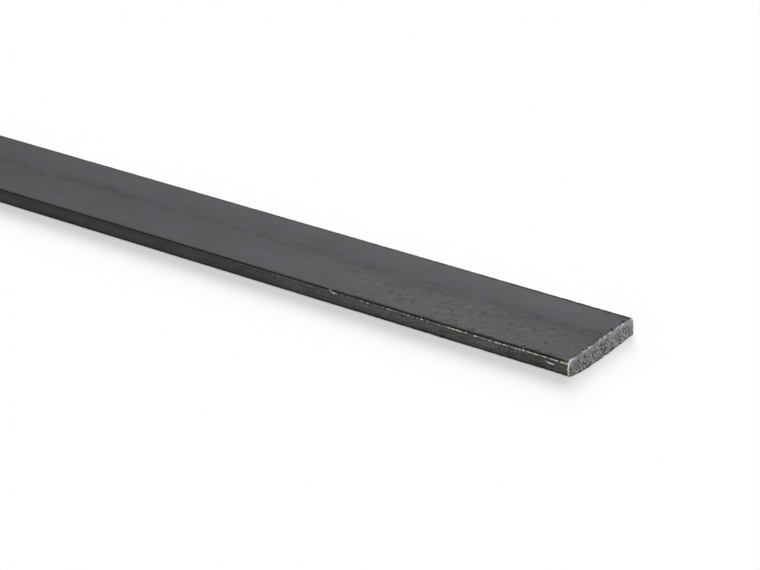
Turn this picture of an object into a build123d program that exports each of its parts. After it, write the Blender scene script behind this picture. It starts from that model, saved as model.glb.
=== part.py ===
"""Flat bar of hot-rolled mild steel, cropped to length on a shear.

Millimetres. X runs along the bar, Y across its width and Z up through its thickness. The origin is the
middle of the underside's outline, so the bar lies flat on Z = 0.

The bar is one rolled piece. Its section has slightly bulging sides and four rounded long edges. At each end
the shear has left a rolled-over edge where the blade went in, then a smooth land that the blade rubbed, then
a fracture that leans out to a sharp lip. The lean fades towards the two sides, where the steel had nothing
beside it to hold it. The stroke runs from the -Y side to the +Y side, where the last of the steel tears off
early and leaves the bar a little longer.
"""
import os
from math import cos, radians

from build123d import *

# The rolled section.
bar_length = 1000.0  # overall, from lip to lip
bar_width = 30.0  # overall, across the two bulging sides
bar_thickness = 4.0
long_edge_radius = 0.8  # what the rolls leave along the four long edges
side_bulge = 0.12  # how far the middle of a rolled side stands out beyond its own edges

# The sheared end, through the thickness.
rollover_radius = 0.35  # the edge where the blade went in
rollover_slope = 30.0  # degrees between the flat face and the start of that rounding
land_height = 1.1  # the smooth band below that edge
land_lean = 0.25  # how far the band leans out over its own height
blade_gap = 1.55  # how far the lip stands out beyond the rolled-over edge
tear_sag = 0.12  # how far the fracture hollows in from a straight line to the lip

# The sheared end, across the width.
fullest_offset = 1.0  # how far the fullest part of the lean lies from the middle of the width
fade_power = 4  # higher keeps the lean full for longer before it fades at the sides
straight_share = 0.26  # where on the blade gap the cut stays as the lean fades: 0 is the top edge, 1 the lip
last_step = 0.19  # how much longer the bar stays at the +Y side, where the stroke ends
last_step_width = 4.5  # how much of the width that takes to build up
profiles_each_side = 4  # profiles that shape the cut, on each side of its fullest part

# The block of offcut that is taken away reaches this far past the bar on its open sides.
offcut_margin = 2.0


def rolled_section():
    """The bar's cross-section in the YZ plane, standing on Z = 0."""
    inner_half_width = bar_width / 2 - side_bulge
    middle_height = bar_thickness / 2
    with BuildSketch(Plane.YZ) as section:
        with BuildLine():
            Line((-inner_half_width, 0), (inner_half_width, 0))
            ThreePointArc(
                (inner_half_width, 0), (bar_width / 2, middle_height), (inner_half_width, bar_thickness)
            )
            Line((inner_half_width, bar_thickness), (-inner_half_width, bar_thickness))
            ThreePointArc(
                (-inner_half_width, bar_thickness), (-bar_width / 2, middle_height), (-inner_half_width, 0)
            )
        make_face()
        fillet(section.vertices(), long_edge_radius)
    return section.sketch


def lean_at(y):
    """How much of its full lean the cut has at one place: 1 where it is fullest, 0 at the two sides."""
    away = y - fullest_offset
    reach = bar_width / 2 - fullest_offset if away > 0 else bar_width / 2 + fullest_offset
    return 1 - (abs(away) / reach) ** fade_power


def step_at(y):
    """How much longer the bar stays at one place across the width."""
    share = 1 - (bar_width / 2 - y) / last_step_width
    share = min(max(share, 0), 1)
    return last_step * share**2 * (3 - 2 * share)


def shear_profile(y):
    """Outline of the offcut at one place across the width. Its inner side is the cut through the bar."""
    lean = lean_at(y)
    lip_x = bar_length / 2
    straight_x = lip_x - blade_gap * (1 - straight_share) + step_at(y)
    top_x = straight_x - blade_gap * straight_share * lean
    foot_x = straight_x + blade_gap * (1 - straight_share) * lean
    land_top_z = bar_thickness - rollover_radius * cos(radians(rollover_slope))
    land_bottom_x = top_x + land_lean * lean
    land_bottom_z = land_top_z - land_height
    tear_middle = ((land_bottom_x + foot_x) / 2 - tear_sag * lean, land_bottom_z / 2)
    outer_x = lip_x + offcut_margin
    above_z = bar_thickness + offcut_margin
    with BuildSketch(Plane.XZ.offset(-y)) as outline:
        with BuildLine():
            rollover = CenterArc(
                (top_x - rollover_radius, land_top_z), rollover_radius, 0, 90 - rollover_slope / 2
            )
            Line((outer_x, above_z), ((rollover @ 1).X, above_z))
            Line(((rollover @ 1).X, above_z), rollover @ 1)
            Line(rollover @ 0, (land_bottom_x, land_bottom_z))
            Spline((land_bottom_x, land_bottom_z), tear_middle, (foot_x, 0))
            Line((foot_x, 0), (foot_x, -offcut_margin))
            Line((foot_x, -offcut_margin), (outer_x, -offcut_margin))
            Line((outer_x, -offcut_margin), (outer_x, above_z))
        make_face()
    return outline.sketch


def offcut():
    """What the shear takes off the +X end: a loft through profiles from one side of the bar to the other."""
    side = bar_width / 2 + offcut_margin / 2
    shares = [number / profiles_each_side for number in range(profiles_each_side + 1)]
    near_places = [-side + share * (fullest_offset + side) for share in shares]
    far_places = [fullest_offset + share * (side - fullest_offset) for share in shares[1:]]
    return loft([shear_profile(y) for y in near_places + far_places])


def flat_bar():
    """The rolled bar with both ends sheared.

    Each stroke of the shear leaves its lip at the bottom of one end and at the top of the next bar's end, so
    the two ends are the same cut, turned half round about the width.
    """
    raw = extrude(rolled_section(), bar_length / 2 + offcut_margin / 2, both=True)
    middle = Axis((0, 0, bar_thickness / 2), (0, 1, 0))
    right_offcut = offcut()
    left_offcut = right_offcut.rotate(middle, 180)
    return raw - right_offcut - left_offcut


bar = flat_bar()
os.makedirs("parts", exist_ok=True)
export_step(bar, "parts/flat_bar.step")
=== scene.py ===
"""Scene of the hot-rolled flat bar: the bar in detail, a pale floor, soft studio light and the camera.

X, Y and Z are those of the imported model. Lengths are in millimetres until a mesh is made. In the materials
and on the stage they are in metres, apart from the sizes of grain and bumps.

The bar's own mesh is a chain of rings round the rolled section, closed at each end by a grid over the sheared
face. Both use the same few sizes as the CAD part, and what they add is relief: the fracture, the ragged top
edge, a small burr at the foot of the cut, dents along the rounded edges, and nicks and scuffs. The -X end is
the same cut, turned half round about the width.
"""

from math import cos, radians, sin

import bpy
import numpy as np
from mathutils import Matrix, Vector


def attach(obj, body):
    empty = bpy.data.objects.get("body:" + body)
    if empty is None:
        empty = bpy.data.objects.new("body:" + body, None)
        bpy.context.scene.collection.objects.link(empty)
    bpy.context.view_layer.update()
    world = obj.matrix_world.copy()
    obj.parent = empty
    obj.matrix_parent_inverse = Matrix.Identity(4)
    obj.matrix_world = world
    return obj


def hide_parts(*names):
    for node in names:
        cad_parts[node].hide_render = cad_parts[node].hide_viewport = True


MM = 0.001

# The rolled section, as in the CAD part.
BAR_LENGTH = 1000.0
BAR_WIDTH = 30.0
BAR_THICKNESS = 4.0
HALF_LENGTH = BAR_LENGTH / 2
HALF_WIDTH = BAR_WIDTH / 2
HALF_THICKNESS = BAR_THICKNESS / 2
EDGE_RADIUS = 0.8
SIDE_BULGE = 0.12  # how far the middle of a side stands out
EDGE_BITE = 0.722  # how far a rounded edge cuts into the flat face, before the side bulges

# The sheared end, as in the CAD part.
ROLLOVER_RADIUS = 0.35
ROLLOVER_SLOPE = 30.0
LAND_HEIGHT = 1.1
LAND_LEAN = 0.25
BLADE_GAP = 1.55
TEAR_SAG = 0.12
FULLEST_Y = 1.0
LAST_STEP = 0.19  # the bar stays this much longer at the +Y side
LAST_STEP_WIDTH = 4.5
FADE_POWER = 4
STRAIGHT_SHARE = 0.26

# Cells of the finest ring: across a flat face, up a side, and over half of a rounded edge.
FACE_CELLS = 240
SIDE_CELLS = 24
HALF_EDGE_CELLS = 12
# The coarser rings keep every so-manyth point of a face, a side and an edge.
RING_STRIDES = ((1, 1, 1), (2, 1, 1), (12, 1, 3), (12, 3, 3))
# The rings that step down from the finest to the coarsest: (distance behind the cut, row of RING_STRIDES).
END_RINGS = ((0.0, 0), (0.1, 0), (0.22, 0), (0.36, 0), (0.55, 1), (0.8, 1), (1.2, 2), (1.7, 2))
FIRST_COARSE = 2.4  # distance behind the cut of the first coarse ring
FINE_SIDES_FROM = 486.0  # X from which the coarse rings keep every point of the sides
CUT_FADE = 12.0  # the cut's outline carries back into the rings over this far
FRONT_RING_GAP = 0.5  # distance between coarse rings at the +X end
REAR_RING_GAP = 0.8  # and at the -X end
LEAST_RING_GAP = 0.09
MARK_RINGS = (-1.4, -0.75, -0.25, 0.25, 0.75, 1.4)  # where rings cross a mark, in lengths of it

SEED = 11
TABLE_CELLS = 64  # the random tables repeat after this many


# ---------------------------------------------------------------- noise

def lattice(seed):
    """A square table of random values from -1 to 1."""
    return np.random.default_rng(seed).uniform(-1.0, 1.0, (TABLE_CELLS, TABLE_CELLS))


def noise(u, v, seed):
    """Smooth noise from -1 to 1 over a plane, with one value to each unit cell."""
    table = lattice(SEED + seed)
    count = TABLE_CELLS
    iu = np.floor(u).astype(int)
    iv = np.floor(v).astype(int)
    fu = u - iu
    fv = v - iv
    fu = fu * fu * (3 - 2 * fu)
    fv = fv * fv * (3 - 2 * fv)
    a = table[iu % count, iv % count]
    b = table[(iu + 1) % count, iv % count]
    c = table[iu % count, (iv + 1) % count]
    d = table[(iu + 1) % count, (iv + 1) % count]
    return (a * (1 - fu) + b * fu) * (1 - fv) + (c * (1 - fu) + d * fu) * fv


def fractal(u, v, seed, octaves, gain=0.5):
    """Noise with finer and weaker copies of itself added."""
    total = np.zeros(np.broadcast(u, v).shape)
    share = 1.0
    for octave in range(octaves):
        turn = 0.7 * octave
        ru = u * cos(turn) - v * sin(turn)
        rv = u * sin(turn) + v * cos(turn)
        total = total + share * noise(ru * 2**octave, rv * 2**octave, seed + octave)
        share *= gain
    return total


def smooth(low, high, value):
    """0 below low, 1 above high and an even curve between, or turned round if low is above high."""
    t = np.clip((value - low) / (high - low), 0.0, 1.0)
    return t * t * (3 - 2 * t)


# ---------------------------------------------------------------- the rolled section

def section_axis(flat_half, cells):
    """Grid lines over a face or a side: (position on the flat, share of the rounded edge, its sign)."""
    steps = np.linspace(0.0, 1.0, HALF_EDGE_CELLS + 1)
    flat = np.linspace(-flat_half, flat_half, cells + 1)
    corner = np.full(HALF_EDGE_CELLS, flat_half)
    place = np.concatenate([-corner, flat, corner])
    share = np.concatenate([steps[:0:-1], np.zeros(len(flat)), steps[1:]])
    return place, share, np.sign(place)


def section_grid():
    """Y and Z of a grid over the whole section, whose border is the rolled outline."""
    flat_y = HALF_WIDTH - SIDE_BULGE - EDGE_BITE
    flat_z = HALF_THICKNESS - EDGE_RADIUS
    y0, a, sign_y = section_axis(flat_y, FACE_CELLS)
    z0, b, sign_z = section_axis(flat_z, SIDE_CELLS)
    a, b = np.meshgrid(a, b, indexing="ij")
    y = y0[:, None] + sign_y[:, None] * EDGE_BITE * a * np.sqrt(1 - b * b / 2)
    z = z0[None, :] + sign_z[None, :] * EDGE_RADIUS * b * np.sqrt(1 - a * a / 2)
    bulge = SIDE_BULGE * (1 - (z / HALF_THICKNESS) ** 2)
    y = y * (1 + bulge / (HALF_WIDTH - SIDE_BULGE))
    return y, z + HALF_THICKNESS


def border(grid):
    """The grid's border as a loop: along the bottom towards -Y, up, along the top, and down again."""
    return np.concatenate([grid[:0:-1, 0], grid[0, :-1], grid[:-1, -1], grid[-1, :0:-1]])


def border_cells():
    """For each point of the loop, how far it is into its run and what the run is: face, side or edge."""
    half = HALF_EDGE_CELLS
    kinds = []
    for cells, kind in ((FACE_CELLS, 0), (SIDE_CELLS, 1)) * 2:
        kinds += [(half + i, 2) for i in range(half)]
        kinds += [(i, kind) for i in range(cells)]
        kinds += [(i, 2) for i in range(half)]
    return kinds


def kept(strides):
    """Places in the finest loop that a coarser ring keeps."""
    return np.array([n for n, (i, kind) in enumerate(border_cells()) if i % strides[kind] == 0])


def section_depth(y, z):
    """How far inside the rolled outline a point lies."""
    bulge = SIDE_BULGE * (1 - ((z - HALF_THICKNESS) / HALF_THICKNESS) ** 2)
    qy = np.abs(y) - (HALF_WIDTH - SIDE_BULGE + bulge - EDGE_RADIUS)
    qz = np.abs(z - HALF_THICKNESS) - (HALF_THICKNESS - EDGE_RADIUS)
    outside = np.hypot(np.maximum(qy, 0), np.maximum(qz, 0))
    return EDGE_RADIUS - outside - np.minimum(np.maximum(qy, qz), 0)


def outline():
    """The finest loop: position, outward normal, distance round it, and how far the surface has turned."""
    grid_y, grid_z = section_grid()
    y = border(grid_y)
    z = border(grid_z)
    dy = np.roll(y, -1) - np.roll(y, 1)
    dz = np.roll(z, -1) - np.roll(z, 1)
    size = np.hypot(dy, dz)
    normal_y = -dz / size
    normal_z = dy / size
    step = np.hypot(np.roll(y, -1) - y, np.roll(z, -1) - z)
    girth = np.concatenate([[0.0], np.cumsum(step)])
    turned = np.degrees(np.arctan2(np.abs(normal_y), np.abs(normal_z)))
    return {"y": y, "z": z, "ny": normal_y, "nz": normal_z, "girth": girth, "turned": turned}


# ---------------------------------------------------------------- the sheared end

def lean(y):
    """How much of the cut's full lean it has at that place across the width."""
    reach = np.where(y > FULLEST_Y, HALF_WIDTH - FULLEST_Y, HALF_WIDTH + FULLEST_Y)
    away = np.abs(y - FULLEST_Y) / reach
    return 1 - away**FADE_POWER


def plain_cut(y, z):
    """X of the sheared face as in the CAD part."""
    k = lean(y)
    step = LAST_STEP * smooth(HALF_WIDTH - LAST_STEP_WIDTH, HALF_WIDTH, y)
    straight = HALF_LENGTH - BLADE_GAP * (1 - STRAIGHT_SHARE) + step
    top = straight - BLADE_GAP * STRAIGHT_SHARE * k
    foot = straight + BLADE_GAP * (1 - STRAIGHT_SHARE) * k
    land_top = BAR_THICKNESS - ROLLOVER_RADIUS * cos(radians(ROLLOVER_SLOPE))
    land_low = land_top - LAND_HEIGHT
    land_x = top + LAND_LEAN * k * np.clip((land_top - z) / LAND_HEIGHT, 0, 1)
    down = np.clip((land_low - z) / land_low, 0, 1)
    tear_x = down * (foot - top - LAND_LEAN * k) - 4 * TEAR_SAG * k * down * (1 - down)
    rise = np.clip(z - land_top, 0, ROLLOVER_RADIUS)
    rolled = ROLLOVER_RADIUS - np.sqrt(ROLLOVER_RADIUS**2 - rise**2)
    return land_x + tear_x - rolled


# The relief of the fracture. A pair is where something begins and where it is whole.
STREAK_TILT = 24.0  # degrees that the marks of the blade lean off the vertical, towards +Y as they go down
RIM_RADIUS = 0.1  # rounding between the cut and the bar's faces
RAGGED_HEIGHT = 0.75  # the top edge is ragged over this far below the top face
LAND_ENDS = 1.35  # depth below the top face at which the land gives way to the fracture
TOOTH_PITCH = 1.25  # from one tooth of that edge to the next, roughly
TOOTH_DEPTH = 0.15
NOTCH_PITCH = 1.7  # there is at most one notch to this much of the width
NOTCH_REACH = 0.7  # how far behind the cut a notch bites into the flat face
NOTCH_DROP = 0.20  # and how far down it presses that face
CALM_CORNER_Y = (13.0, 14.6)  # the ragged edge is calmer from here to the +Y side
BURR = 0.12  # how far the lip at the foot of the cut stands out
BURR_HEIGHT = 0.6  # and up to which height
FAR_BURR = 0.30  # and how much further near the foot's +Y corner
FAR_BURR_Y = (11.6, 13.0)
FAR_BURR_END_Y = (14.9, 14.1)
FAR_BURR_Z = (0.9, 0.2)
NEAR_CORNER_BACK = 0.14  # how far the cut's top edge stands back beside the -Y side
NEAR_CORNER_Y = (-10.6, -12.6)
DRAWN_FROM_Y = (-HALF_WIDTH + 2.0, -HALF_WIDTH + 3.6)
DRAWN_TO_Y = (HALF_WIDTH - 0.5, HALF_WIDTH - 1.3)
SCALE_STOPS = 3.73  # height at which the scale that the blade drew over the top edge gives out
# Corners painted lighter, as rubbed steel and painted highlight: (strength, where they begin and are whole in
# Y, and in Z).
NEAR_CORNER_RUB_AND_HIGHLIGHT = (0.35, (-10.0, -13.0), (1.9, 3.1))
NEAR_TIP_RUB_AND_HIGHLIGHT = (0.68, (-9.4, -12.2), (3.60, 3.76))
# Soft patches whose pits are darkened less and more than the rest: (Y and Z of the middle, reach in Y and in
# Z).
FULLER_PATCH = (5.6, 1.2, 1.9, 0.8)
DEEPER_PATCH = (0.6, 0.9, 1.3, 0.9)
FULLER_BY = 0.38
DEEPER_BY = 0.2
FOOT_SHADE = (0.34, 0.08)  # heights between which the very foot is painted dark as shade


def torn(y, z):
    """Share of the fracture, 0 on the smooth land near the top and 1 well below it."""
    start = BAR_THICKNESS - LAND_ENDS + 0.4 * noise(y / 1.3, y * 0, 5)
    return smooth(start + 0.3, start - 0.6, z)


def teeth(y):
    """How far the ragged top edge stands back, along the width."""
    main = np.abs(noise(y / (TOOTH_PITCH / 2), y * 0, 21))
    fine = noise(y / 0.33, y * 0, 22)
    return TOOTH_DEPTH * (1.3 * main + 0.4 * fine)


def notches(y):
    """Sparse bites out of the top edge, from 0 to 1."""
    cell = np.floor(y / NOTCH_PITCH)
    table = np.random.default_rng(SEED + 40).uniform(0, 1, (TABLE_CELLS, 3))
    pick = table[cell.astype(int) % TABLE_CELLS]
    centre = (cell + 0.25 + 0.5 * pick[..., 0]) * NOTCH_PITCH
    size = 0.12 + 0.2 * pick[..., 1]
    return np.clip(1.6 * pick[..., 2] - 0.35, 0, 1) * np.exp(-(((y - centre) / size) ** 2))


def bitten(y, z, back):
    """(how far a point near the cut's top edge is pressed down, how deep in a notch it is and so how dark its
    painted shade is)
    """
    near = smooth(BAR_THICKNESS - 1.0, BAR_THICKNESS, z) * smooth(NOTCH_REACH, 0.0, back)
    drop = NOTCH_DROP * notches(y) + 0.05 * np.abs(noise(y / 0.4, y * 0, 23))
    return drop * near, notches(y) * near


def fracture_grain(y, z):
    """The fine part of the fracture, about -1 in its pits and 1 on its peaks."""
    tilt = radians(STREAK_TILT)
    along = y * sin(tilt) - z * cos(tilt)
    across = y * cos(tilt) + z * sin(tilt) + 0.12 * noise(y / 0.9, z / 0.6, 46)
    share = torn(y, z)
    strong = 0.6 + 0.5 * noise(y / 1.1, z / 1.5, 48)
    streak = strong * fractal(across / 0.26, along / 0.9, 50, octaves=3, gain=0.6)
    pits = fractal(y / 0.36, z / 0.30, 60, octaves=3, gain=0.6)
    ridges = 1.0 - 3.0 * np.abs(fractal(across / 0.5, along / 0.6, 70, octaves=2))
    return 0.5 * streak * (1 - share) + (0.9 * pits + 0.35 * ridges) * share


def tear_relief(y, z):
    """How far the torn face stands out from the plain cut."""
    share = torn(y, z)
    lumps = fractal(y / 1.6, z / 1.1, 80, octaves=2)
    return (0.015 + 0.06 * share) * fracture_grain(y, z) + (0.015 + 0.07 * share) * lumps


def cut_x(y, z):
    """X of the finished sheared face at +X."""
    near_top = smooth(BAR_THICKNESS - RAGGED_HEIGHT, BAR_THICKNESS, z)
    back = (teeth(y) + 0.18 * notches(y)) * near_top * (1 - 0.8 * smooth(*CALM_CORNER_Y, y))
    back = back + NEAR_CORNER_BACK * near_top * smooth(*NEAR_CORNER_Y, y)
    depth = np.clip(section_depth(y, z), 0, RIM_RADIUS)
    rim = RIM_RADIUS - np.sqrt(RIM_RADIUS**2 - (RIM_RADIUS - depth) ** 2)
    far_burr = FAR_BURR * smooth(*FAR_BURR_Y, y) * smooth(*FAR_BURR_END_Y, y) * smooth(*FAR_BURR_Z, z)
    burr = BURR * lean(y) * smooth(BURR_HEIGHT, 0.0, z) + far_burr
    return plain_cut(y, z) + tear_relief(y, z) + burr - back - rim


def spot(y, z, middle_y, middle_z, reach_y, reach_z):
    """A soft round patch on the cut, 1 in its middle."""
    return np.exp(-(((y - middle_y) / reach_y) ** 2) - ((z - middle_z) / reach_z) ** 2)


def drawn_scale(y, z):
    """Share of scale on the cut, where the blade drew the top face over the edge. It ends raggedly."""
    stops = SCALE_STOPS + 0.13 * noise(y / 0.55, y * 0, 36) + 0.09 * noise(y / 0.21, y * 0, 37)
    return smooth(stops, stops + 0.1, z) * (smooth(*DRAWN_FROM_Y, y) * smooth(*DRAWN_TO_Y, y))


def rubbed(y, z, strength, span_y, span_z):
    """A corner of the cut painted lighter, as rubbed steel and painted highlight, with soft borders."""
    return strength * smooth(*span_y, y) * smooth(*span_z, z)


def rim_rub_and_highlight(y, z):
    """Where the cut is painted bright, as rubbed steel and painted highlight: its -Y border, both top
    corners, some teeth, a little near the top.
    """
    near_side = smooth(-HALF_WIDTH + 0.40, -HALF_WIDTH + 0.10, y) * (0.45 + 0.4 * smooth(1.2, 3.4, z))
    near_corner = rubbed(y, z, *NEAR_CORNER_RUB_AND_HIGHLIGHT) * (1 - 0.6 * smooth(3.1, 3.5, z))
    near_corner = np.maximum(near_corner, rubbed(y, z, *NEAR_TIP_RUB_AND_HIGHLIGHT))
    far_corner = 0.55 * np.exp(-((y - 14.5) ** 2 + (z - 3.5) ** 2) / 0.25)
    # Bright teeth on the top edge are painted highlights.
    groups = np.clip(1.6 * noise(y / 2.1, y * 0, 35) + 0.2, 0, 0.5)
    tooth_highlights = groups * np.clip(2.4 * noise(y / 0.5, y * 0, 31), 0, 1)
    top = smooth(BAR_THICKNESS - RAGGED_HEIGHT, BAR_THICKNESS - 0.35, z) * tooth_highlights
    share = np.maximum(np.maximum(near_side, near_corner), np.maximum(far_corner, top))
    uneven = 0.85 + 0.5 * noise(y / 0.3, z / 0.35, 33)
    at_border = smooth(0.75, 0.30, section_depth(y, z))
    return share * at_border * uneven + 0.055 * smooth(2.7, 3.6, z)


def side_rim_rub_and_highlight(y, z, back):
    """Where the last of the -Y side is painted bright just behind the cut, as rubbed steel and painted
    highlight.
    """
    reach = 0.38 + 0.13 * noise(z / 0.5, z * 0, 38)
    return smooth(reach, 0.35 * reach, back) * smooth(-14.2, -14.7, y) * smooth(0.15, 0.6, z)


def cut_looks(y, z):
    """What the cut's material is told of a place, on the cut's border as well as inside it."""
    return {"rim": rim_rub_and_highlight(y, z), "torn": torn(y, z), "drawn": drawn_scale(y, z)}


# ---------------------------------------------------------------- marks on the long edges

# Each mark: x, y, z of its middle, length, width, depth, and how bare the steel is there.
MARKS = (
    (428.8, -14.60, 3.86, 0.45, 0.20, 0.14, 1.0),
    (429.6, -14.80, 3.62, 0.35, 0.16, 0.16, 0.8),
    (430.5, -14.90, 3.40, 0.45, 0.18, 0.12, 1.0),
    (445.7, -14.98, 1.30, 0.22, 0.18, 0.08, 0.8),
    (456.2, -14.30, 4.00, 0.25, 0.16, 0.06, 0.8),
    (456.8, -14.86, 3.50, 0.30, 0.16, 0.10, 1.0),
    (467.3, -14.86, 3.52, 0.35, 0.15, 0.10, 1.0),
    (469.6, -14.86, 3.56, 0.30, 0.14, 0.10, 0.9),
    (485.7, -14.40, 3.97, 0.28, 0.20, 0.16, 1.0),
    (485.9, -14.66, 3.80, 0.22, 0.18, 0.12, 0.8),
    (476.4, -15.00, 1.50, 0.22, 0.18, 0.06, 0.6),
    (490.3, -14.99, 2.86, 0.55, 0.08, 0.03, 0.42),
    (491.4, -15.00, 2.70, 0.55, 0.08, 0.03, 0.40),
    (492.5, -15.00, 2.48, 0.50, 0.12, 0.04, 0.55),
    (493.1, -15.00, 2.41, 0.50, 0.16, 0.06, 0.85),
    (493.7, -15.00, 2.35, 0.55, 0.20, 0.08, 1.00),
    (494.3, -15.00, 2.29, 0.50, 0.18, 0.07, 0.95),
    (494.8, -15.00, 2.26, 0.40, 0.12, 0.05, 0.60),
    (493.0, -15.00, 2.08, 0.50, 0.08, 0.03, 0.42),
)
STREWN_MARKS = 26
STREWN_TO = 400.0  # the strewn marks end at this X, and those beyond it are the ones above
STREWN_Y = 14.72
STREWN_INSET = 0.28  # how far in from a flat face they lie


def scattered_marks():
    """More marks, strewn over the four long edges along the rest of the bar."""
    dice = np.random.default_rng(SEED + 80)
    marks = []
    for _ in range(STREWN_MARKS):
        x = dice.uniform(-HALF_LENGTH + 8, STREWN_TO)
        side = dice.choice((-1, 1))
        level = dice.choice((STREWN_INSET, BAR_THICKNESS - STREWN_INSET))
        size = dice.uniform(0.25, 0.6)
        marks.append((x, side * STREWN_Y, level, size * 1.3, 0.2, size * 0.2, dice.uniform(0.2, 0.8)))
    return marks


ALL_MARKS = list(MARKS) + scattered_marks()


def mark_relief(x, y, z):
    """(how far the surface is pressed in, how bare it is) from all the marks."""
    pressed = np.zeros(x.shape)
    bare = np.zeros(x.shape)
    for mx, my, mz, length, width, depth, shine in ALL_MARKS:
        near = np.abs(x - mx) < 3 * length + 1
        if not near.any():
            continue
        far = ((x - mx) / length) ** 2 + ((y - my) ** 2 + (z - mz) ** 2) / width**2
        pressed += depth * (np.exp(-far) - 0.35 * np.exp(-((np.sqrt(far) - 1.7) ** 2) * 3))
        bare = np.maximum(bare, shine * np.exp(-(far**1.5) * 0.8))
    return pressed, bare


EDGE_DENTS = 0.05  # unevenness of the rounded edges
WEAR_REACH = 60.0  # the long edges are more worn towards the ends, over about this length


def edge_relief(x, line_y, line_z, turned):
    """Small dents and flats along the rounded edges."""
    on_edge = np.clip(np.sin(np.radians(np.clip(turned, 0, 90) * 2)), 0, 1)
    row = np.sign(line_y) * 17.3 + np.sign(line_z - HALF_THICKNESS) * 5.1
    dents = fractal(x / 1.5, row, 90, octaves=3, gain=0.8)
    return EDGE_DENTS * (0.5 + wear(x)) * on_edge * np.maximum(dents - 0.1, -0.4)


def wear(x):
    """How worn the bar is at that place along it, 1 at its ends."""
    return np.exp(-(HALF_LENGTH - np.abs(x)) / WEAR_REACH)


def line_wear(x, y, z):
    """How worn a long edge is: most at the -Y upper one, less at the +Y one and not at all underneath."""
    share = np.where(z < HALF_THICKNESS, 0.0, np.where(y < 0, 1.0, 0.3))
    return share * np.maximum(wear(x) ** 1.5 - 0.05, 0.0)


# ---------------------------------------------------------------- the bar's mesh

def spacing(x):
    """Distance from one coarse ring to the next, which is finer near the ends."""
    to_front = HALF_LENGTH - x
    to_back = HALF_LENGTH + x
    front = FRONT_RING_GAP + 0.9 * smooth(60, 190, to_front) + 3.0 * smooth(190, 300, to_front)
    back = REAR_RING_GAP + 3.6 * smooth(10, 80, to_back)
    return np.minimum(front, back)


def coarse_rings():
    """X of the coarse rings, from the +X end to the -X end, with more of them at each mark."""
    places = []
    x = HALF_LENGTH - FIRST_COARSE
    while x > -HALF_LENGTH + FIRST_COARSE:
        places.append(x)
        x -= float(spacing(x))
    for mark in ALL_MARKS:
        places += [mark[0] + mark[3] * t for t in MARK_RINGS]
    places.append(-HALF_LENGTH + FIRST_COARSE)
    places = sorted(set(places), reverse=True)
    spread = [places[0]]
    for x in places[1:]:
        if spread[-1] - x > LEAST_RING_GAP:
            spread.append(x)
    return spread


def ring_plan():
    """Every ring from the +X cut to the -X cut: (X of the ring if the cut were flat, level of detail)."""
    front = [(HALF_LENGTH - back, level) for back, level in END_RINGS]
    middle = [(x, 2 if x > FINE_SIDES_FROM else 3) for x in coarse_rings()]
    rear = [(-x, level) for x, level in reversed(front)]
    return front + middle + rear


class Net:
    """Points, faces and what is known of each, gathered for one mesh."""

    def __init__(self):
        self.points = []
        names = ("turned", "wear", "line", "bare", "rim", "torn", "hollow_dirt_and_shade", "drawn")
        self.values = {name: [] for name in names}
        self.faces = []
        self.slots = []
        self.corners = []
        self.total = 0

    def add_points(self, x, y, z, **values):
        """Adds points and gives back their numbers."""
        first = self.total
        self.points.append(np.stack([x, y, z], 1))
        for name, parts in self.values.items():
            parts.append(np.broadcast_to(values.get(name, 0.0), x.shape))
        self.total += len(x)
        return np.arange(first, self.total)

    def add_face(self, numbers, slot, corners):
        """Adds a face with its material's place and its corners on the flat map."""
        self.faces.append(numbers)
        self.slots.append(slot)
        self.corners.append(corners)


def ring_points(net, line, keep, x, cut_front, cut_rear):
    """Adds one ring, shaped to the nearer cut and pressed in by the marks."""
    y = line["y"][keep]
    z = line["z"][keep]
    turned = line["turned"][keep]
    back = HALF_LENGTH - abs(x)
    cut = cut_front if x > 0 else cut_rear
    recess = (HALF_LENGTH - cut[keep]) * smooth(CUT_FADE, 0, back)
    place = x - recess if x > 0 else x + recess
    face_z = z if x > 0 else BAR_THICKNESS - z
    pressed, bare = mark_relief(place, y, z)
    pressed = pressed + edge_relief(place, y, z, turned)
    drop, hollow_dirt_and_shade = bitten(y, face_z, back)
    known = {"turned": turned, "wear": wear(place), "line": line_wear(place, y, z), "hollow_dirt_and_shade": hollow_dirt_and_shade}
    # The last of the -Y side behind the cut is made bright too, as rubbed steel and painted highlight.
    known["bare"] = np.maximum(bare, side_rim_rub_and_highlight(y, face_z, back))
    known |= cut_looks(y, face_z)
    y = y - line["ny"][keep] * pressed
    z = np.maximum(z - line["nz"][keep] * pressed + (-drop if x > 0 else drop), 0.0)
    return net.add_points(place, y, z, **known)


STRIPS = 4  # the flat map holds the long surface in this many lengths, side by side
MAP_MM = 275.0  # millimetres of the bar's surface to the side of the flat map
STRIP_MM = 66.5  # a little more than the distance round the section
STRIP_GAP = 0.9
STRIP_MARGINS = (1.0, 0.6)


def on_strip(x, girth, strip):
    """Where a point of the bar's long surface lies on the flat map."""
    start = HALF_LENGTH - strip * BAR_LENGTH / STRIPS
    along, up = STRIP_MARGINS
    return ((start - x + along) / MAP_MM, (strip * (STRIP_MM + STRIP_GAP) + girth + up) / MAP_MM)


def points_between(keep, start, end, size):
    """Places of the loop from start to end, which may lie past the point where the loop closes."""
    if end < size:
        return [n for n in keep if start <= n <= end]
    return [n for n in keep if n >= start] + [size + n for n in keep if size + n <= end]


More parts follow.
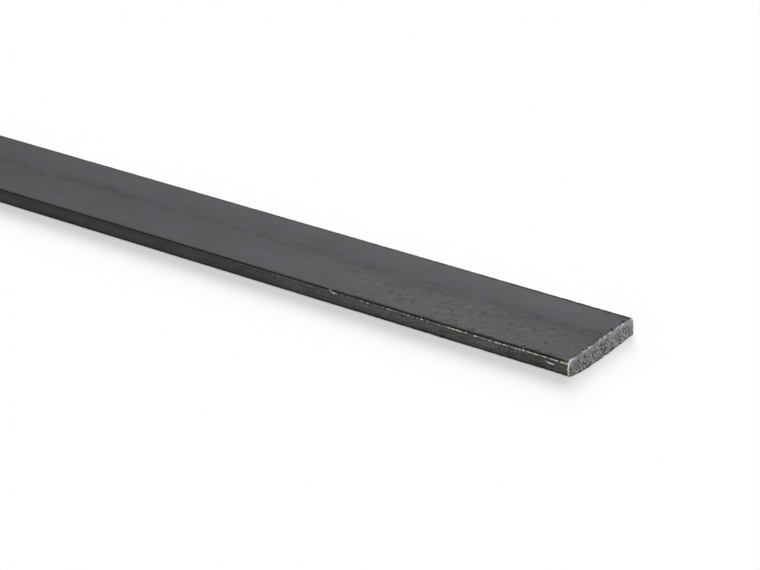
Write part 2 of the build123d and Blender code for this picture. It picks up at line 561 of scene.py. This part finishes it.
def stitch(net, line, ring_a, keep_a, x_a, ring_b, keep_b, x_b):
    """Faces between two rings. Where one has more points, each gap of the other is filled by a fan."""
    flip = len(keep_b) > len(keep_a)
    if flip:
        ring_a, keep_a, x_a, ring_b, keep_b, x_b = ring_b, keep_b, x_b, ring_a, keep_a, x_a
    middle = (x_a + x_b) / 2
    strip = min(max(int((HALF_LENGTH - middle) / (BAR_LENGTH / STRIPS)), 0), STRIPS - 1)
    size = len(line["y"])
    where = {int(n): i for i, n in enumerate(keep_a)}
    girth = line["girth"]

    def fine(place):
        wrapped = int(place) % size
        return int(ring_a[where[wrapped]]), on_strip(x_a, girth[int(place)], strip)

    def coarse(i):
        place = keep_b[i % len(keep_b)] + (size if i == len(keep_b) else 0)
        return int(ring_b[i % len(keep_b)]), on_strip(x_b, girth[int(place)], strip)

    def face(*corners):
        if flip:
            corners = corners[::-1]
        net.add_face([c[0] for c in corners], 0, [c[1] for c in corners])

    for i in range(len(keep_b)):
        start = keep_b[i]
        end = keep_b[i + 1] if i + 1 < len(keep_b) else size + keep_b[0]
        steps = points_between(keep_a, start, end, size)
        if len(steps) == 2:
            face(fine(steps[0]), fine(steps[1]), coarse(i + 1), coarse(i))
            continue
        half = len(steps) // 2
        for n in range(half):
            face(fine(steps[n]), fine(steps[n + 1]), coarse(i))
        face(coarse(i), fine(steps[half]), coarse(i + 1))
        for n in range(half, len(steps) - 1):
            face(fine(steps[n]), fine(steps[n + 1]), coarse(i + 1))


CAP_MAP_MM = 95.0  # millimetres of a sheared face to the side of the flat map
CAP_COLUMN = 0.925  # where the two faces' column starts on the map
CAP_PITCH = 34.0  # from one face to the next along it
CAP_MARGINS = (0.3, 1.0)


def close_end(net, ring, front):
    """The sheared face: a grid over the section whose border is the bar's last ring."""
    y, z = section_grid()
    face_z = z if front else BAR_THICKNESS - z
    x = cut_x(y, face_z)
    if not front:
        x = -x
    # Darker in the pits, as dirt and painted shade, and at the very foot, as painted shade.
    hollow_dirt_and_shade = np.clip(0.5 - 0.5 * fracture_grain(y, face_z), 0, 1)
    hollow_dirt_and_shade = hollow_dirt_and_shade * (1 - FULLER_BY * spot(y, face_z, *FULLER_PATCH))
    hollow_dirt_and_shade = np.clip(hollow_dirt_and_shade + DEEPER_BY * spot(y, face_z, *DEEPER_PATCH), 0, 1)
    hollow_dirt_and_shade = np.maximum(hollow_dirt_and_shade, 0.9 * smooth(*FOOT_SHADE, face_z))
    drop, _ = bitten(y, face_z, 0.0)
    z = z + (-drop if front else drop)
    count_u, count_v = y.shape
    numbers = np.zeros(y.shape, int)
    inner = (slice(1, count_u - 1), slice(1, count_v - 1))
    known = cut_looks(y, face_z) | {"hollow_dirt_and_shade": hollow_dirt_and_shade}
    known = {name: part[inner].ravel() for name, part in known.items()}
    added = net.add_points(x[inner].ravel(), y[inner].ravel(), z[inner].ravel(), **known)
    numbers[inner] = added.reshape(count_u - 2, count_v - 2)
    loop_u = border(np.broadcast_to(np.arange(count_u)[:, None], y.shape))
    loop_v = border(np.broadcast_to(np.arange(count_v)[None, :], y.shape))
    numbers[loop_u, loop_v] = ring
    across, along = CAP_MARGINS
    map_x = CAP_COLUMN + (z + across) / CAP_MAP_MM
    map_y = (y + HALF_WIDTH + along + (0.0 if front else CAP_PITCH)) / CAP_MAP_MM
    for i in range(count_u - 1):
        for j in range(count_v - 1):
            cells = [(i, j), (i + 1, j), (i + 1, j + 1), (i, j + 1)]
            if not front:
                cells = cells[::-1]
            corners = [(float(map_x[c]), float(map_y[c])) for c in cells]
            net.add_face([int(numbers[c]) for c in cells], 1, corners)


def bar_net():
    """The whole bar as one closed net."""
    net = Net()
    line = outline()
    cut_front = cut_x(line["y"], line["z"])
    cut_rear = cut_x(line["y"], BAR_THICKNESS - line["z"])
    keeps = [kept(strides) for strides in RING_STRIDES]
    plan = ring_plan()
    rings = []
    for x, level in plan:
        rings.append(ring_points(net, line, keeps[level], x, cut_front, cut_rear))
    for n in range(len(plan) - 1):
        (x_a, level_a), (x_b, level_b) = plan[n], plan[n + 1]
        stitch(net, line, rings[n], keeps[level_a], x_a, rings[n + 1], keeps[level_b], x_b)
    close_end(net, rings[0], True)
    close_end(net, rings[-1], False)
    return net


def to_mesh(net, name):
    """A Blender mesh from a net, with its flat map and its values."""
    mesh = bpy.data.meshes.new(name)
    points = np.concatenate(net.points) * MM
    mesh.from_pydata(points.tolist(), [], net.faces)
    mesh.polygons.foreach_set("material_index", net.slots)
    mesh.polygons.foreach_set("use_smooth", [True] * len(net.faces))
    flat_map = mesh.uv_layers.new(name="OFBake")
    flat_map.data.foreach_set("uv", np.array([c for face in net.corners for c in face]).ravel())
    for key, parts in net.values.items():
        layer = mesh.attributes.new(key, "FLOAT", "POINT")
        layer.data.foreach_set("value", np.concatenate(parts).astype(float))
    mesh.update()
    mesh.validate()
    return mesh


# ---------------------------------------------------------------- materials
#
# In the spans below, across and height are Y and Z in metres, and turned is in degrees from a flat face.
# worn and every noise are shares from 0 to 1. A result named level multiplies the colour.

def put(tree, value, socket):
    """Sets a socket, or links it to another node's result."""
    if isinstance(value, bpy.types.NodeSocket):
        tree.links.new(value, socket)
    else:
        socket.default_value = value


def wire(tree, kind, inputs, **settings):
    """The first output of a new node, whose inputs are linked or set. None leaves an input as it is."""
    node = tree.nodes.new("ShaderNode" + kind)
    for name, value in settings.items():
        setattr(node, name, value)
    for socket, value in zip(node.inputs, inputs):
        if value is not None:
            put(tree, value, socket)
    return node.outputs[0]


class Paint:
    """One material and short ways to add nodes to it. Most give back the new node's result."""

    def __init__(self, name):
        self.material = bpy.data.materials.new(name)
        self.material.use_nodes = True
        self.tree = self.material.node_tree
        self.shader = self.tree.nodes["Principled BSDF"]
        self.place = self.node("TexCoord").outputs["Object"]
        split = self.node("SeparateXYZ")
        put(self.tree, self.place, split.inputs[0])
        self.axes = split.outputs

    def node(self, kind):
        return self.tree.nodes.new("ShaderNode" + kind)

    def wire(self, kind, *inputs, **settings):
        return wire(self.tree, kind, inputs, **settings)

    def shade(self, name, value):
        """Sets or links one of the shader's own sockets."""
        put(self.tree, value, self.shader.inputs[name])

    def value(self, name):
        attribute = self.node("Attribute")
        attribute.attribute_name = name
        return attribute.outputs["Fac"]

    def maths(self, operation, *numbers):
        return self.wire("Math", *numbers, operation=operation)

    def times(self, a, b):
        return self.maths("MULTIPLY", a, b)

    def mix_value(self, share, a, b):
        """a where share is 0 and b where it is 1."""
        return self.wire("Mix", share, None, a, b)

    def span(self, value, low, high, start=0.0, end=1.0):
        """value from low to high, turned into start to end with a soft beginning and end."""
        return self.wire("MapRange", value, low, high, start, end, interpolation_type="SMOOTHSTEP")

    def noise(self, size, detail=2.0, rough=0.5, shift=0.0, bend=0.0, place=None):
        """Noise with cells of that size in millimetres along X, Y and Z."""
        moved = (shift, shift * 0.7, shift * 0.4)
        scale = [1 / (side * MM) for side in size]
        place = self.wire("Mapping", place or self.place, moved, None, scale)
        made = self.node("TexNoise")
        put(self.tree, place, made.inputs["Vector"])
        numbers = {"Scale": 1.0, "Detail": detail, "Roughness": rough, "Distortion": bend}
        for name, number in numbers.items():
            made.inputs[name].default_value = number
        return made.outputs["Fac"]

    def mix(self, share, a, b):
        """Colour a where share is 0 and b where it is 1."""
        made = self.node("Mix")
        made.data_type = "RGBA"
        for place, value in ((0, share), (6, a), (7, b)):
            put(self.tree, value, made.inputs[place])
        return made.outputs[2]

    def scaled(self, colour, by):
        """colour made lighter or darker by a factor."""
        return self.wire("VectorMath", colour, None, None, by, operation="SCALE")

    def bump(self, height, distance, before=None):
        made = self.node("Bump")
        numbers = {"Height": height, "Distance": distance * MM}
        if before is not None:
            numbers["Normal"] = before
        for name, number in numbers.items():
            put(self.tree, number, made.inputs[name])
        return made.outputs[0]


BASE_LEVEL = 0.085  # of the scale
CUT_LEVEL = 0.235  # of the sheared faces
BARE_LEVEL = 0.56  # of steel that is rubbed bright
DRAWN_LEVEL = 0.55  # of the scale drawn over the cut's top edge, as a share of the cut's own
FACE_RIM = (0.0131, 0.0136)  # Y over which a flat face ends on the +Y side
LINE_TURN = 70.0  # degrees that the surface has turned at the worn line


def grey(level, warm=0.0, violet=0.0):
    """A near-neutral colour, a little towards yellow or violet."""
    red = level * (1 + 0.6 * warm)
    green = level * (1 + 0.4 * warm - 0.12 * violet)
    blue = level * (1 - warm + violet)
    return (red, green, blue, 1.0)


def mill_scale():
    """The dark oxide skin from rolling, worn to bare steel on a line along the rounded edges."""
    p = Paint("mill_scale")
    across = p.axes["Y"]
    turned = p.value("turned")
    worn = p.value("wear")
    on_face = p.span(turned, 30.0, 12.0)
    side = p.span(turned, 79.0, 90.0)
    handled = p.times(handled_share(p, worn, across), on_face)
    level = p.times(clouds(p, worn), middle_band(p, across))
    level = p.maths("ADD", level, face_grain(p, handled))
    level = p.times(level, p.times(flecks(p, handled), scratches(p, handled)))
    level = p.times(level, edge_tone_and_shade(p, turned, side, worn))
    level = p.times(level, under_line_shade(p, turned, p.axes["Z"]))
    rubbed = rubbed_corner(p, worn, across, p.axes["Z"])
    level = p.times(level, p.maths("MULTIPLY_ADD", rubbed, 1.4, 1.0))
    # Painted shade: the lowest millimetre of the bar, beside the floor, is darker.
    level = p.times(level, p.span(p.axes["Z"], 0.0002, 0.0010, 0.5, 1.0))
    level = p.times(level, side_skin(p, side, worn, p.axes["Z"]))
    level = p.times(level, far_edge_shade(p, across, worn))
    # The notches by the cut's top edge are painted dark as shade.
    level = p.times(level, p.span(p.value("hollow_dirt_and_shade"), 0.2, 0.9, 1.0, 0.6))
    colour = p.scaled(scale_tint(p, on_face, across, worn, rubbed), level)
    colour = p.mix(worn_line(p, turned), colour, line_tint(p, worn))
    colour = p.mix(p.span(p.value("bare"), 0.3, 0.7), colour, grey(BARE_LEVEL, warm=0.02))
    p.shade("Base Color", colour)
    patchy = p.noise((1.8, 0.9, 0.9), detail=3.0, rough=0.6, shift=5.3)
    p.shade("Roughness", p.span(patchy, 0.3, 0.7, 0.33, 0.37))
    p.shade("Metallic", 1.0)
    rim_glow = p.mix_value(p.span(across, *FACE_RIM), 1.0, p.span(worn, 0.1, 0.8, 0.9, 0.75))
    hold = p.span(worn, 0.1, 0.6, 8.0, 12.0)
    glow = p.times(p.span(turned, hold, 26.0, 1.0, 0.35), rim_glow)
    p.shade("Specular Tint", glow)
    fine = p.noise((0.8, 0.5, 0.5), detail=4.0, rough=0.6, shift=6.1)
    p.shade("Normal", p.bump(patchy, 0.006, p.bump(fine, 0.008)))
    return p.material


def handled_share(p, worn, across):
    """Where handling has marked the flat faces: in patches, most on the -Y half some way behind each end."""
    along = p.times(p.span(worn, 0.20, 0.46), p.span(worn, 0.74, 0.92, 1.0, 0.5))
    patches = p.span(p.noise((8, 5, 5), detail=1.0, shift=33.0), 0.36, 0.60, 0.35, 1.25)
    share = p.times(along, patches)
    return p.times(share, p.span(across, 0.0045, -0.003))


def rubbed_corner(p, worn, across, height):
    """The last of the upper edge on the -Y side, which is rubbed yellowish at each end."""
    at_end = p.times(p.span(worn, 0.935, 0.968), p.span(across, -0.0136, -0.0143))
    return p.times(at_end, p.span(height, 0.0031, 0.0035))


def clouds(p, worn):
    """Soft light and dark areas of the scale, a little darker at the very ends."""
    wide = p.noise((46, 14, 14), detail=1.0, shift=3.1)
    small = p.noise((16, 6, 6), detail=1.5, rough=0.5, shift=7.7)
    both = p.times(p.span(wide, 0.3, 0.7, 0.95, 1.05), p.span(small, 0.3, 0.7, 0.94, 1.06))
    return p.times(both, p.span(worn, 0.60, 0.95, 1.0, 0.90))


def middle_band(p, across):
    """A narrow dark band with darker smudges, near the middle of a face that is paler at its edges."""
    wander = p.span(p.noise((22, 400, 400), detail=2.0, shift=2.9), 0.3, 0.7, 0.0009, 0.0027)
    away = p.maths("ABSOLUTE", p.maths("SUBTRACT", across, wander))
    smudge = p.noise((7, 2.6, 2.6), detail=3.0, rough=0.6, shift=8.3, bend=0.6)
    reach = p.span(p.noise((12, 400, 400), shift=12.9), 0.35, 0.65, 0.0026, 0.0042)
    core = p.span(away, 0.0003, reach, p.span(smudge, 0.38, 0.64, 0.98, 0.68), 1.0)
    return p.times(core, p.span(away, 0.001, 0.010, 0.895, 1.035))


def face_grain(p, handled):
    """Fine unevenness of the scale, stronger where the bar has been handled."""
    fine = p.noise((0.6, 0.6, 0.6), detail=1.5, rough=0.6, shift=17.0)
    streak = p.noise((2.2, 1.5, 1.5), detail=2.0, rough=0.6, shift=19.0)
    fine = p.times(p.maths("SUBTRACT", fine, 0.5), p.maths("MULTIPLY_ADD", handled, 0.35, 0.03))
    streak = p.maths("SUBTRACT", streak, 0.5)
    streak = p.times(streak, p.maths("MULTIPLY_ADD", handled, 0.5, 0.10))
    return p.maths("ADD", fine, streak)


FLECK_TURN = 27.0  # degrees from X towards +Y that the marks of handling run


def flecks(p, handled):
    """Short dark and light marks, all lying about the same way."""
    turned = p.wire("VectorRotate", p.place, None, None, radians(-FLECK_TURN), rotation_type="Z_AXIS")
    spots = p.noise((1.8, 1.0, 1.0), detail=1.5, rough=0.6, shift=37.0, bend=0.5, place=turned)
    dark = p.span(spots, 0.405, 0.315)
    light = p.span(spots, 0.60, 0.69)
    mark = p.maths("SUBTRACT", p.times(light, 0.40), p.times(dark, 0.62))
    return p.maths("MULTIPLY_ADD", mark, handled, 1.0)


def scratches(p, handled):
    """Short curved scratches, dark with a lighter lip."""
    off = p.maths("SUBTRACT", p.noise((7, 3.4, 3.4), detail=1.0, shift=4.9, bend=0.4), 0.5)
    groove = p.span(p.maths("ABSOLUTE", off), 0.020, 0.006)
    lip = p.span(p.maths("ABSOLUTE", p.maths("SUBTRACT", off, 0.030)), 0.020, 0.006)
    patches = p.span(p.noise((3.6, 2.2, 2.2), detail=1.0, shift=15.2), 0.48, 0.58)
    place = p.times(patches, handled)
    mark = p.maths("SUBTRACT", p.times(lip, 0.20), p.times(groove, 0.55))
    return p.maths("MULTIPLY_ADD", mark, place, 1.0)


def edge_tone_and_shade(p, turned, side, worn):
    """The rounded edges and the sides are darker than the faces, the edges unevenly where they are worn: the
    scale's darker tone there and painted shade.
    """
    start = p.span(worn, 0.08, 0.60, 0.0, 27.0)
    uneven = p.span(p.noise((0.9, 9.0, 9.0), detail=2.0, rough=0.7, shift=31.0), 0.36, 0.64, 0.45, 1.35)
    not_side = p.maths("SUBTRACT", 1.0, side)
    plain = p.mix_value(not_side, 0.74, p.span(worn, 0.16, 0.34, 0.60, 0.74))
    rough_part = p.times(p.span(worn, 0.05, 0.6), not_side)
    share = p.mix_value(rough_part, plain, p.times(uneven, 0.72))
    return p.mix_value(p.span(turned, start, p.maths("ADD", start, 13.0)), 1.0, share)


def under_line_shade(p, turned, height):
    """Painted shade: the top of each side is darker, just under the worn line."""
    return p.mix_value(p.span(turned, 64.0, 82.0), 1.0, p.span(height, 0.0024, 0.0032, 1.0, 0.80))


def far_edge_shade(p, across, worn):
    """Painted shade: the flat faces go dark just before their edge on the +Y side."""
    strip = p.mix_value(p.span(across, 0.0100, 0.0125), 1.0, p.span(worn, 0.50, 0.85, 1.0, 0.92))
    rim = p.mix_value(p.span(across, *FACE_RIM), 1.0, p.span(worn, 0.1, 0.8, 0.8, 0.5))
    return p.times(strip, rim)


def side_scuffs(p, worn, height):
    """Fine light and dark dashes on the upper half of the sides, towards each end."""
    upper = p.times(p.span(height, 0.0015, 0.0026), p.span(worn, 0.14, 0.26))
    dashes = p.noise((1.0, 0.5, 0.22), detail=2.0, rough=0.6, shift=43.0)
    light = p.times(p.span(dashes, 0.55, 0.68), 1.1)
    dark = p.times(p.span(dashes, 0.45, 0.34), 0.45)
    return p.times(upper, p.maths("SUBTRACT", light, dark))


def side_skin(p, side, worn, height):
    """The rolled sides: softly blotched, with long streaks, scuffs and bright specks where they are worn."""
    blotch = p.noise((6, 2.5, 1.5), detail=2.0, rough=0.5, shift=21.0)
    streak = p.noise((6, 1.0, 0.40), detail=2.0, rough=0.6, shift=23.0)
    speck = p.noise((0.5, 0.4, 0.3), detail=1.0, shift=25.0)
    level = p.span(worn, 0.17, 0.36, 0.94, 1.38)
    blotch = p.maths("SUBTRACT", blotch, 0.5)
    level = p.maths("MULTIPLY_ADD", blotch, p.maths("MULTIPLY_ADD", worn, 2.2, 0.12), level)
    grain = p.noise((1.4, 0.7, 0.35), detail=2.0, rough=0.6, shift=29.0)
    grain = p.maths("SUBTRACT", grain, 0.5)
    level = p.maths("MULTIPLY_ADD", grain, p.maths("MULTIPLY_ADD", worn, 1.6, 0.38), level)
    level = p.maths("MULTIPLY_ADD", p.span(streak, 0.56, 0.70), p.times(worn, 1.3), level)
    level = p.maths("MULTIPLY_ADD", p.span(speck, 0.64, 0.72), p.times(worn, 3.0), level)
    level = p.maths("ADD", level, side_scuffs(p, worn, height))
    dark = p.times(p.span(streak, 0.46, 0.34), p.span(worn, 0.1, 0.5))
    level = p.times(level, p.maths("MULTIPLY_ADD", dark, -0.55, 1.0))
    return p.mix_value(side, 1.0, level)


def worn_line(p, turned):
    """Share of bare steel on the thin broken line where handling has worn the rounded edges."""
    wander = p.span(p.noise((7, 50, 50), detail=3.0, shift=9.2), 0.3, 0.7, -5.0, 5.0)
    away = p.maths("ABSOLUTE", p.maths("SUBTRACT", turned, p.maths("ADD", wander, LINE_TURN)))
    on_line = p.span(away, 12.0, 4.0)
    least = p.span(p.value("wear"), 0.30, 0.65, 0.25, 0.8)
    long_part = p.span(p.noise((3.5, 9, 9), detail=2.0, shift=1.4), 0.35, 0.6, least, 1.25)
    dash = p.span(p.noise((0.55, 1.2, 1.2), detail=2.0, rough=0.7, shift=1.9), 0.42, 0.62, 0.1, 3.1)
    amount = p.times(p.value("line"), 0.66)
    amount = p.times(amount, p.times(dash, long_part))
    return p.times(on_line, p.maths("MINIMUM", amount, 1.0))


def scale_tint(p, on_face, across, worn, rubbed):
    """Colour of the scale: grey, with lilac and olive patches on the faces and olive ones on the sides."""
    patch = p.noise((9, 6, 6), detail=2.5, rough=0.6, shift=11.0)
    worn_grey = p.times(p.span(worn, 0.15, 0.33), p.span(across, 0.002, -0.004))
    from_edges = p.span(p.maths("ABSOLUTE", across), 0.0145, 0.007, 0.35, 1.0)
    lilac = p.times(p.span(patch, 0.38, 0.62, 0.15, 1.2), p.maths("SUBTRACT", 1.0, worn_grey))
    lilac = p.times(lilac, from_edges)
    face = p.mix(lilac, grey(BASE_LEVEL, warm=0.004), grey(BASE_LEVEL, violet=0.19))
    near_band = p.span(p.maths("ABSOLUTE", p.maths("SUBTRACT", across, 0.0005)), 0.0045, 0.0015)
    stain = p.span(p.noise((5, 2.6, 2.6), detail=1.0, shift=41.0), 0.60, 0.68)
    stain = p.times(stain, near_band)
    face = p.mix(stain, face, grey(BASE_LEVEL, warm=0.07))
    olive = p.times(p.span(p.noise((7, 5, 5), shift=27.0), 0.5, 0.62), worn)
    sides = p.mix(olive, grey(BASE_LEVEL), grey(BASE_LEVEL, warm=0.09))
    return p.mix(rubbed, p.mix(on_face, sides, face), grey(BASE_LEVEL, warm=0.3))


def line_tint(p, worn):
    """Colour of the worn line, a little yellow at the very end of the bar."""
    return p.mix(p.span(worn, 0.9, 0.95), grey(BARE_LEVEL, warm=0.02), grey(BARE_LEVEL, warm=0.2))


def sheared_steel():
    """Bare torn steel of the two cut faces, with the scale that was drawn over their top edge."""
    p = Paint("sheared_steel")
    patch = p.noise((6, 4, 4), detail=2.0, shift=2.2)
    speckle = p.noise((0.3, 0.26, 0.26), detail=2.0, rough=0.6, shift=8.8)
    tint = p.mix(p.span(patch, 0.45, 0.6), grey(CUT_LEVEL, warm=0.012), grey(CUT_LEVEL, violet=0.03))
    # Darker in the pits and lighter on the peaks: dirt and painted shade in the pits, painted shade at the
    # foot.
    level = p.span(p.value("hollow_dirt_and_shade"), 0.1, 0.95, 1.45, 0.22)
    level = p.times(level, p.span(speckle, 0.3, 0.7, 0.6, 1.4))
    level = p.times(level, p.span(p.value("torn"), 0.0, 1.0, 1.08, 0.89))
    level = p.times(level, p.span(p.axes["Y"], -0.012, 0.014, 0.94, 1.10))
    # Lighter along the cut's border, as rubbed steel and painted highlight.
    level = p.maths("MULTIPLY_ADD", p.value("rim"), 2.8, level)
    level = p.mix_value(p.value("drawn"), level, DRAWN_LEVEL)
    low = p.span(p.axes["Z"], 0.0032, 0.0016)
    stain = p.times(p.span(p.axes["Y"], -0.008, -0.012), low)
    tint = p.mix(stain, tint, grey(CUT_LEVEL, warm=0.05))
    p.shade("Base Color", p.scaled(tint, level))
    p.shade("Roughness", p.span(speckle, 0.3, 0.7, 0.42, 0.58))
    p.shade("Metallic", 1.0)
    p.shade("Normal", p.bump(speckle, 0.05))
    return p.material


# ---------------------------------------------------------------- stage, light and camera

FLOOR_HALF = 40.0
FLOOR_GAP = 0.00002  # how far the floor lies below the bar, so that the two don't coincide
FLOOR_COLOUR = (0.92, 0.92, 0.92, 1.0)
SHADOW_KEEP = 0.8  # share of the lit floor that a camera or a reflection sees near the bar
SHADOW_REACH = (0.5, 0.9)  # distance from the bar's line over which the floor turns to plain white


def seen_rays(tree):
    """1 for camera, glossy and transmission rays, and 0 for the rays that light things."""
    path = tree.nodes.new("ShaderNodeLightPath")
    total = path.outputs["Is Camera Ray"]
    for name in ("Is Glossy Ray", "Is Transmission Ray"):
        total = wire(tree, "Math", (total, path.outputs[name]), operation="ADD", use_clamp=True)
    return total


def floor_material():
    """Pale floor that shows the bar's shadow and is plain white away from it."""
    p = Paint("pale_floor")
    p.shade("Base Color", FLOOR_COLOUR)
    p.shade("Roughness", 0.9)
    p.shade("Specular IOR Level", 0.0)
    past_end = p.maths("SUBTRACT", p.maths("ABSOLUTE", p.axes["X"]), HALF_LENGTH * MM)
    past_end = p.maths("MAXIMUM", past_end, 0.0)
    away = p.maths("ADD", p.maths("ABSOLUTE", p.axes["Y"]), past_end)
    white_share = p.span(away, *SHADOW_REACH, 1 - SHADOW_KEEP, 1.0)
    share = p.times(seen_rays(p.tree), white_share)
    both = p.wire("MixShader", share, p.shader.outputs[0], p.wire("Emission"))
    put(p.tree, both, p.tree.nodes["Material Output"].inputs["Surface"])
    return p.material


def make_floor():
    """The floor that the bar lies on."""
    mesh = bpy.data.meshes.new("floor")
    half = FLOOR_HALF
    corners = [(-half, -half, 0), (half, -half, 0), (half, half, 0), (-half, half, 0)]
    mesh.from_pydata(corners, [], [(0, 1, 2, 3)])
    floor = bpy.data.objects.new("floor", mesh)
    floor.location.z = -FLOOR_GAP
    bpy.context.scene.collection.objects.link(floor)
    mesh.materials.append(floor_material())


# The studio: (degrees above the horizon, level up to there, degrees, level from there on up).
SEEN_STUDIO = (44.0, 1.0, 56.0, 0.1)  # what reflections show: a white backdrop under a dark ceiling
LIGHT_STUDIO = (24.0, 0.25, 34.0, 0.1)  # what lights the scene
DIM_SIDE_SLOPE = 2.8  # the backdrop falls off towards -X
DIM_SIDE_LOWEST = 0.6
DIM_SIDE_HIGHEST = 1.08


def studio_level(tree, height, studio):
    """Brightness of the studio at a height, where 1 is straight up."""
    low, low_level, high, high_level = studio
    numbers = (height, sin(radians(low)), sin(radians(high)), low_level, high_level)
    return wire(tree, "MapRange", numbers, interpolation_type="SMOOTHSTEP")


def make_world():
    """Two studios of backdrop and ceiling: reflections show one of them, and the other lights the scene."""
    world = bpy.data.worlds.new("studio")
    bpy.context.scene.world = world
    world.use_nodes = True
    tree = world.node_tree
    split = tree.nodes.new("ShaderNodeSeparateXYZ")
    tree.links.new(tree.nodes.new("ShaderNodeTexCoord").outputs["Generated"], split.inputs[0])
    seen = studio_level(tree, split.outputs["Z"], SEEN_STUDIO)
    light = studio_level(tree, split.outputs["Z"], LIGHT_STUDIO)
    numbers = (split.outputs["X"], DIM_SIDE_SLOPE, 1 + DIM_SIDE_SLOPE / 2)
    slope = wire(tree, "Math", numbers, operation="MULTIPLY_ADD")
    slope = wire(tree, "Clamp", (slope, DIM_SIDE_LOWEST, DIM_SIDE_HIGHEST))
    path = tree.nodes.new("ShaderNodeLightPath").outputs
    shown = wire(tree, "Math", (path["Is Glossy Ray"], path["Is Transmission Ray"]), operation="MAXIMUM")
    seen = wire(tree, "Math", (seen, slope), operation="MULTIPLY")
    level = wire(tree, "Mix", (shown, None, light, seen))
    level = wire(tree, "Math", (level, path["Is Camera Ray"]), operation="MAXIMUM")
    tree.links.new(level, tree.nodes["Background"].inputs["Strength"])
    tree.nodes["Background"].inputs["Color"].default_value = (1.0, 1.0, 1.0, 1.0)


# Each lamp: direction from the bar towards it, strength, and how wide it is in degrees.
LAMPS = {
    "low_back_bank": ((-0.540, 0.769, 0.342), 1.74, 20.0),
    "high_back_bank": ((-0.360, 0.768, 0.530), 1.72, 38.0),
    "front_bank": ((0.20, -0.46, 0.866), 1.70, 40.0),
}


def make_lamps():
    """Two wide banks of light behind the bar and another above and in front."""
    for name, (towards, strength, width) in LAMPS.items():
        lamp = bpy.data.lights.new(name, "SUN")
        lamp.energy = strength
        lamp.angle = radians(width)
        holder = bpy.data.objects.new(name, lamp)
        holder.rotation_mode = "QUATERNION"
        holder.rotation_quaternion = Vector(towards).to_track_quat("Z", "Y")
        holder.visible_glossy = False
        bpy.context.scene.collection.objects.link(holder)


CAMERA_PLACE = (0.783652, -0.500445, 0.289542)
CAMERA_DOWN = 25.308  # degrees below the horizon
CAMERA_TURN = 34.939  # degrees from +Y towards -X
CAMERA_SENSOR = 36.0  # millimetres, like the lens
CAMERA_LENS = 126.456


def make_camera():
    """The camera at the photograph's angle."""
    data = bpy.data.cameras.new("camera")
    data.sensor_width = CAMERA_SENSOR
    data.lens = CAMERA_LENS
    data.clip_end = 100.0
    camera = bpy.data.objects.new("camera", data)
    camera.location = CAMERA_PLACE
    camera.rotation_euler = (radians(90 - CAMERA_DOWN), 0.0, radians(CAMERA_TURN))
    bpy.context.scene.collection.objects.link(camera)
    bpy.context.scene.camera = camera


def make_bar():
    """The detailed bar, in place of the plain CAD node."""
    bar = bpy.data.objects.new("steel_bar", to_mesh(bar_net(), "steel_bar"))
    bpy.context.scene.collection.objects.link(bar)
    bar.data.materials.append(mill_scale())
    bar.data.materials.append(sheared_steel())
    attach(bar, "root")
    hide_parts("flat_bar")


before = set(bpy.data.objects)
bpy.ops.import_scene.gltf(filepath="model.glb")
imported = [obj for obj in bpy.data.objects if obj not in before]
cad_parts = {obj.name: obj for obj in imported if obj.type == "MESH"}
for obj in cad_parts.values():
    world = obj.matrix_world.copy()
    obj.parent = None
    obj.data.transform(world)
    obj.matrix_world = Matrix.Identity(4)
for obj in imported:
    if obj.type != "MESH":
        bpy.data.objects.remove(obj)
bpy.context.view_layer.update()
bpy.context.scene.view_settings.view_transform = "Standard"
make_camera()
make_world()
make_lamps()
make_floor()
make_bar()
